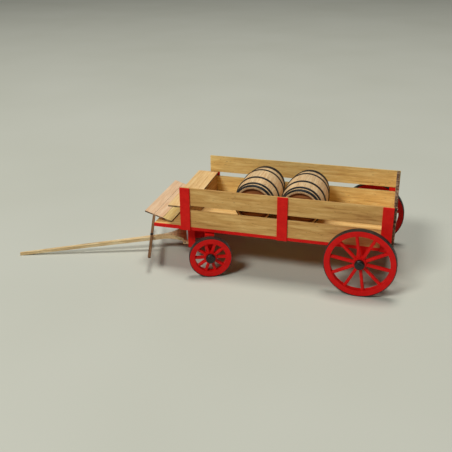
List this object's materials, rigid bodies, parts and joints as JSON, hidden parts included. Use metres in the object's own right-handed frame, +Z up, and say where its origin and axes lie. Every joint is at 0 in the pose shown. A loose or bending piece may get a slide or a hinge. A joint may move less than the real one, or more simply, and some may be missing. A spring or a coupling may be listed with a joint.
{
  "type": "model farm wagon",
  "caption": "Scale model of a horse-drawn farm wagon: slatted side boards, seat, footboard, steering front axle, spoked wheels, drawbar and a load of barrels.",
  "frame": {"origin": "on the ground, midway between the pole tip and the rear tyres, on the bed's centre line", "axes": "+X towards the tailgate, +Y to the wagon's right-hand side, +Z up"},
  "size_m": [0.2532, 0.0918, 0.0598],
  "materials": {
    "side_wood": "stained plank",
    "floor_wood": "stained plank",
    "seat_wood": "stained plank",
    "footboard_wood": "bare pale plank",
    "red_paint": "satin red paint",
    "wheel_red": "satin red paint",
    "pole_wood": "stained",
    "evener_wood": "stained",
    "steel": "dark satin",
    "black_caps": "satin black",
    "tyre_iron": "matt dark grey",
    "stave_wood": "bare oak",
    "head_wood": "dark oak",
    "hoop_iron": "satin black"
  },
  "bodies": {
    "bed": {"floor_boards": "floor_wood", "floor_bearers": "red_paint", "tailgate": "side_wood", "seat_board": "seat_wood", "seat_riser": "seat_wood", "footboard_planks": "footboard_wood", "footboard_brackets": "footboard_wood", "rear_axle_block": "red_paint", "rear_axle_arms": "steel", "rear_axle_caps": "black_caps", "upper_turn_plate": "steel", "kingpin": "steel", "kingpin_nut": "steel", "left_sill": "red_paint", "left_lower_plank": "side_wood", "left_upper_plank": "side_wood", "left_stakes": "red_paint", "right_sill": "red_paint", "right_lower_plank": "side_wood", "right_upper_plank": "side_wood", "right_stakes": "red_paint"},
    "turning_gear": {"front_axle_block": "red_paint", "front_bolster": "red_paint", "lower_turn_plate": "steel", "front_crossbeam": "red_paint", "gear_hounds": "red_paint", "pole_lugs": "pole_wood", "pole_hinge_pin": "steel", "front_axle_arms": "steel", "front_axle_caps": "black_caps"},
    "pole": {"pole": "pole_wood", "evener_bolt": "steel"},
    "evener": {"evener_bar": "evener_wood"},
    "front_left_wheel": {"front_left_wheel_tyre": "tyre_iron", "front_left_wheel_felloe": "wheel_red", "front_left_wheel_spokes": "wheel_red", "front_left_wheel_hub": "wheel_red"},
    "front_right_wheel": {"front_right_wheel_tyre": "tyre_iron", "front_right_wheel_felloe": "wheel_red", "front_right_wheel_spokes": "wheel_red", "front_right_wheel_hub": "wheel_red"},
    "rear_left_wheel": {"rear_left_wheel_tyre": "tyre_iron", "rear_left_wheel_felloe": "wheel_red", "rear_left_wheel_spokes": "wheel_red", "rear_left_wheel_hub": "wheel_red"},
    "rear_right_wheel": {"rear_right_wheel_tyre": "tyre_iron", "rear_right_wheel_felloe": "wheel_red", "rear_right_wheel_spokes": "wheel_red", "rear_right_wheel_hub": "wheel_red"},
    "barrel_1": {"barrel_1_staves": "stave_wood", "barrel_1_heads": "head_wood", "barrel_1_hoops": "hoop_iron"},
    "barrel_2": {"barrel_2_staves": "stave_wood", "barrel_2_heads": "head_wood", "barrel_2_hoops": "hoop_iron"}
  },
  "joints": [
    {"name": "steer", "type": "hinge", "parent": "bed", "child": "turning_gear", "pos_m": [-0.00414, 0, 0.01665], "axis": [0, 0, 1], "range_deg": [-65.2, 24.8]},
    {"name": "pole_lift", "type": "hinge", "parent": "turning_gear", "child": "pole", "pos_m": [-0.01906, -0.00549, 0.0113], "axis": [-0.3453, 0.9385, 0], "range_deg": [0, 30]},
    {"name": "evener_swing", "type": "hinge", "parent": "pole", "child": "evener", "pos_m": [-0.04048, -0.01337, 0.01053], "axis": [-0.0848, -0.0312, 0.9959], "range_deg": [-23.7, 26.3]},
    {"name": "front_left_wheel_spin", "type": "hinge", "parent": "turning_gear", "child": "front_left_wheel", "pos_m": [0.01036, -0.03942, 0.01375], "axis": [-0.3453, 0.9385, 0], "continuous": true},
    {"name": "front_right_wheel_spin", "type": "hinge", "parent": "turning_gear", "child": "front_right_wheel", "pos_m": [-0.01864, 0.03942, 0.01375], "axis": [-0.3453, 0.9385, 0], "continuous": true},
    {"name": "rear_left_wheel_spin", "type": "hinge", "parent": "bed", "child": "rear_left_wheel", "pos_m": [0.10456, -0.0397, 0.022], "axis": [0, 1, 0], "continuous": true},
    {"name": "rear_right_wheel_spin", "type": "hinge", "parent": "bed", "child": "rear_right_wheel", "pos_m": [0.10456, 0.0397, 0.022], "axis": [0, 1, 0], "continuous": true},
    {"name": "barrel_1_lift", "type": "slide", "parent": "bed", "child": "barrel_1", "axis": [0, 0, 1], "range_m": [0, 0.06]},
    {"name": "barrel_2_lift", "type": "slide", "parent": "bed", "child": "barrel_2", "axis": [0, 0, 1], "range_m": [0, 0.06]}
  ]
}
